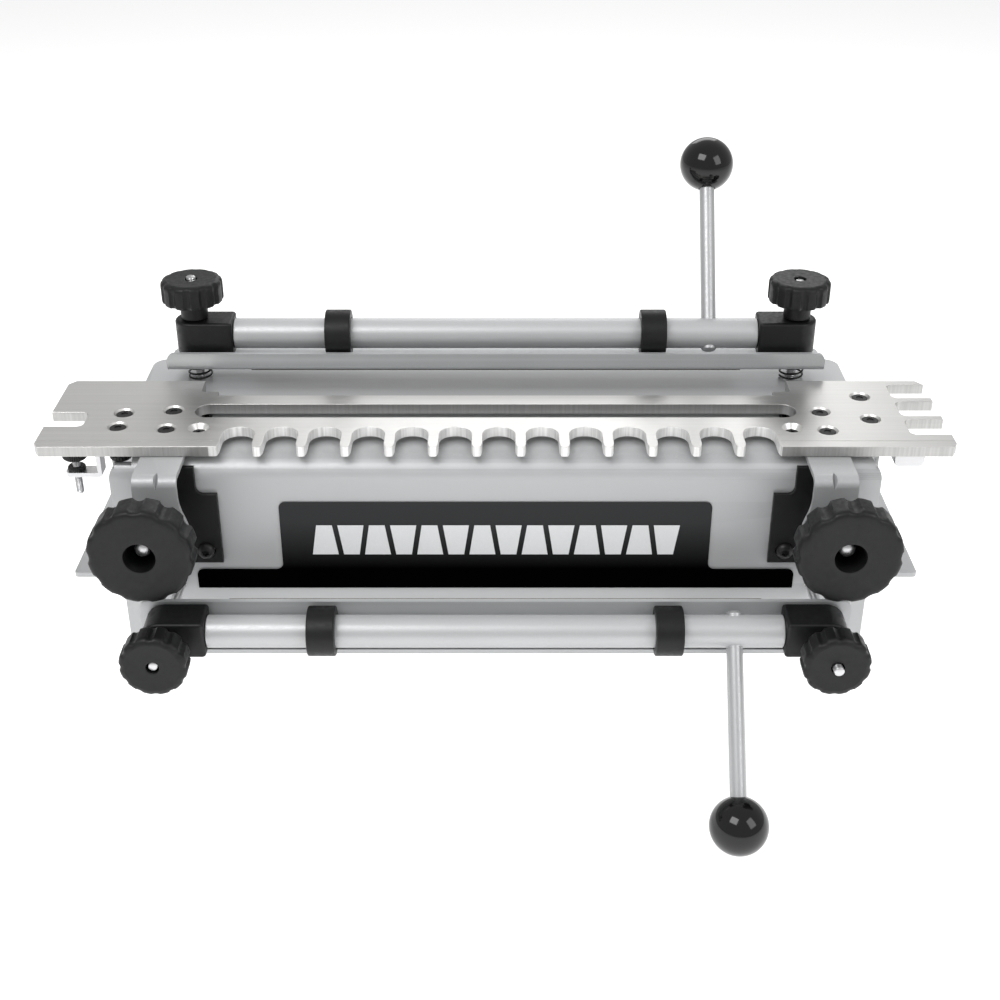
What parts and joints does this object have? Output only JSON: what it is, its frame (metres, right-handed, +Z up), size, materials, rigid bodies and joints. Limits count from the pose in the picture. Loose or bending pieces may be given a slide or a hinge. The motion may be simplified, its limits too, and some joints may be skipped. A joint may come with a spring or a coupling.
{
  "type": "dovetail jig",
  "caption": "Bench-mounted half-blind dovetail jig: folded base, aluminium finger template on brackets, and two cam-lever clamps with threaded round knobs.",
  "frame": {"origin": "on the rear face of the apron at mid length, level with the bench top", "axes": "+X along the jig to the right of the person using it, +Y away from that person over the bench, +Z up"},
  "size_m": [0.5334, 0.332, 0.3252],
  "materials": {
    "paint": "silver-grey powder coat, fine orange peel, satin",
    "aluminium": "machined plate, brushed along its length",
    "steel": "satin zinc-plated or bare steel",
    "satin_bar": "satin grey coat on a folded strip",
    "black_plastic": "glass-filled nylon, finely textured, dull",
    "ball": "polished black phenolic",
    "label": "dark vinyl label with a black lower strip",
    "black_steel": "blackened steel, oiled: springs and pan-head screws",
    "grip": "coarse abrasive strip"
  },
  "bodies": {
    "base": {"base": "paint", "front_label": "label", "left_stop_screw": "black_steel", "right_stop_screw": "black_steel", "left_large_stud": "steel", "right_large_stud": "steel", "rear_left_stud": "steel", "rear_right_stud": "steel", "front_left_stud": "steel", "front_right_stud": "steel", "rear_left_spring": "black_steel", "rear_right_spring": "black_steel"},
    "left_stop": {"left_stop": "black_plastic"},
    "right_stop": {"right_stop": "black_plastic"},
    "depth_carriage": {"left_knob_washer": "steel", "right_knob_washer": "steel"},
    "left_nut": {"left_positioning_nut": "black_plastic"},
    "right_nut": {"right_positioning_nut": "black_plastic"},
    "left_large_knob": {"left_large_knob": "black_plastic"},
    "right_large_knob": {"right_large_knob": "black_plastic"},
    "template": {"finger_template": "aluminium", "left_template_screw": "steel", "right_template_screw": "steel", "left_bracket": "paint", "right_bracket": "paint", "gauge_bracket": "steel", "gauge_mount_screw": "steel", "gauge_mount_nut": "black_plastic", "end_tab": "steel"},
    "gauge_screw": {"gauge_screw": "black_plastic"},
    "gauge_lock_nut": {"gauge_lock_nut": "black_plastic"},
    "rear_carriage": {"rear_left_block": "black_plastic", "rear_right_block": "black_plastic"},
    "rear_cam": {"rear_tube": "steel", "rear_left_collar": "black_plastic", "rear_right_collar": "black_plastic", "rear_lever_rod": "steel", "rear_lever_ball": "ball"},
    "rear_bar": {"rear_clamp_bar": "satin_bar", "rear_grip_strip": "grip"},
    "rear_left_knob": {"rear_left_knob": "black_plastic"},
    "rear_right_knob": {"rear_right_knob": "black_plastic"},
    "front_carriage": {"front_left_block": "black_plastic", "front_right_block": "black_plastic"},
    "front_cam": {"front_tube": "steel", "front_left_collar": "black_plastic", "front_right_collar": "black_plastic", "front_lever_rod": "steel", "front_lever_ball": "ball"},
    "front_bar": {"front_clamp_bar": "satin_bar", "front_grip_strip": "grip"},
    "front_left_knob": {"front_left_knob": "black_plastic"},
    "front_right_knob": {"front_right_knob": "black_plastic"}
  },
  "joints": [
    {"name": "left_stop_slide", "type": "slide", "parent": "base", "child": "left_stop", "axis": [1, 0, 0], "range_m": [-0.003, 0.003]},
    {"name": "right_stop_slide", "type": "slide", "parent": "base", "child": "right_stop", "axis": [1, 0, 0], "range_m": [-0.003, 0.003]},
    {"name": "template_depth", "type": "slide", "parent": "base", "child": "depth_carriage", "axis": [0, 1, 0], "range_m": [-0.005, 0.005]},
    {"name": "left_nut_turn", "type": "hinge", "parent": "depth_carriage", "child": "left_nut", "pos_m": [-0.1965, -0.0229, 0.062], "axis": [0, 1, 0], "range_deg": [-1150, 1150]},
    {"name": "right_nut_turn", "type": "hinge", "parent": "depth_carriage", "child": "right_nut", "pos_m": [0.1965, -0.0229, 0.062], "axis": [0, 1, 0], "range_deg": [-1150, 1150]},
    {"name": "left_large_knob_turn", "type": "hinge", "parent": "depth_carriage", "child": "left_large_knob", "pos_m": [-0.1965, -0.05, 0.062], "axis": [0, 1, 0], "continuous": true},
    {"name": "right_large_knob_turn", "type": "hinge", "parent": "depth_carriage", "child": "right_large_knob", "pos_m": [0.1965, -0.05, 0.062], "axis": [0, 1, 0], "continuous": true},
    {"name": "template_lift", "type": "slide", "parent": "depth_carriage", "child": "template", "axis": [0, 0, 1], "range_m": [0, 0.02]},
    {"name": "gauge_screw_slide", "type": "slide", "parent": "template", "child": "gauge_screw", "axis": [0, 0, -1], "range_m": [0, 0.003]},
    {"name": "gauge_lock_nut_turn", "type": "hinge", "parent": "template", "child": "gauge_lock_nut", "pos_m": [-0.246, 0.00825, 0.0818], "axis": [0, 0, 1], "continuous": true},
    {"name": "rear_clamp_adjust", "type": "slide", "parent": "base", "child": "rear_carriage", "axis": [0, 0, -1], "range_m": [0, 0.0029], "deforming": ["rear_left_spring", "rear_right_spring"]},
    {"name": "rear_left_knob_turn", "type": "hinge", "parent": "rear_carriage", "child": "rear_left_knob", "pos_m": [-0.1905, 0.1154, 0.144], "axis": [0, 0, -1], "range_deg": [0, 830]},
    {"name": "rear_right_knob_turn", "type": "hinge", "parent": "rear_carriage", "child": "rear_right_knob", "pos_m": [0.1905, 0.1154, 0.144], "axis": [0, 0, -1], "range_deg": [0, 830]},
    {"name": "rear_cam_lever", "type": "hinge", "parent": "rear_carriage", "child": "rear_cam", "pos_m": [0, 0.1154, 0.1201], "axis": [1, 0, 0], "range_deg": [-20, 94]},
    {"name": "rear_bar_press", "type": "slide", "parent": "rear_carriage", "child": "rear_bar", "axis": [0, 0, -1], "range_m": [-0.00078, 0.00358], "deforming": ["rear_left_spring", "rear_right_spring"]},
    {"name": "front_clamp_adjust", "type": "slide", "parent": "base", "child": "front_carriage", "axis": [0, 1, 0], "range_m": [0, 0.018]},
    {"name": "front_left_knob_turn", "type": "hinge", "parent": "front_carriage", "child": "front_left_knob", "pos_m": [-0.1905, -0.077, 0.006], "axis": [0, 1, 0], "range_deg": [0, 5110]},
    {"name": "front_right_knob_turn", "type": "hinge", "parent": "front_carriage", "child": "front_right_knob", "pos_m": [0.1905, -0.077, 0.006], "axis": [0, 1, 0], "range_deg": [0, 5110]},
    {"name": "front_cam_lever", "type": "hinge", "parent": "front_carriage", "child": "front_cam", "pos_m": [0, -0.053, 0.006], "axis": [1, 0, 0], "range_deg": [-100, 15]},
    {"name": "front_bar_press", "type": "slide", "parent": "front_carriage", "child": "front_bar", "axis": [0, 1, 0], "range_m": [-0.0006, 0.00386]}
  ],
  "couplings": [
    {"joint": "left_nut_turn", "follows": "template_depth", "rad_per_m": 4000},
    {"joint": "right_nut_turn", "follows": "template_depth", "rad_per_m": 4000},
    {"joint": "rear_left_knob_turn", "follows": "rear_clamp_adjust", "rad_per_m": 4947.3},
    {"joint": "rear_right_knob_turn", "follows": "rear_clamp_adjust", "rad_per_m": 4947.3},
    {"joint": "rear_bar_press", "follows": "rear_cam_lever", "m_per_rad": 0.00217},
    {"joint": "front_left_knob_turn", "follows": "front_clamp_adjust", "rad_per_m": 4947.3},
    {"joint": "front_right_knob_turn", "follows": "front_clamp_adjust", "rad_per_m": 4947.3},
    {"joint": "front_bar_press", "follows": "front_cam_lever", "m_per_rad": -0.002194}
  ]
}
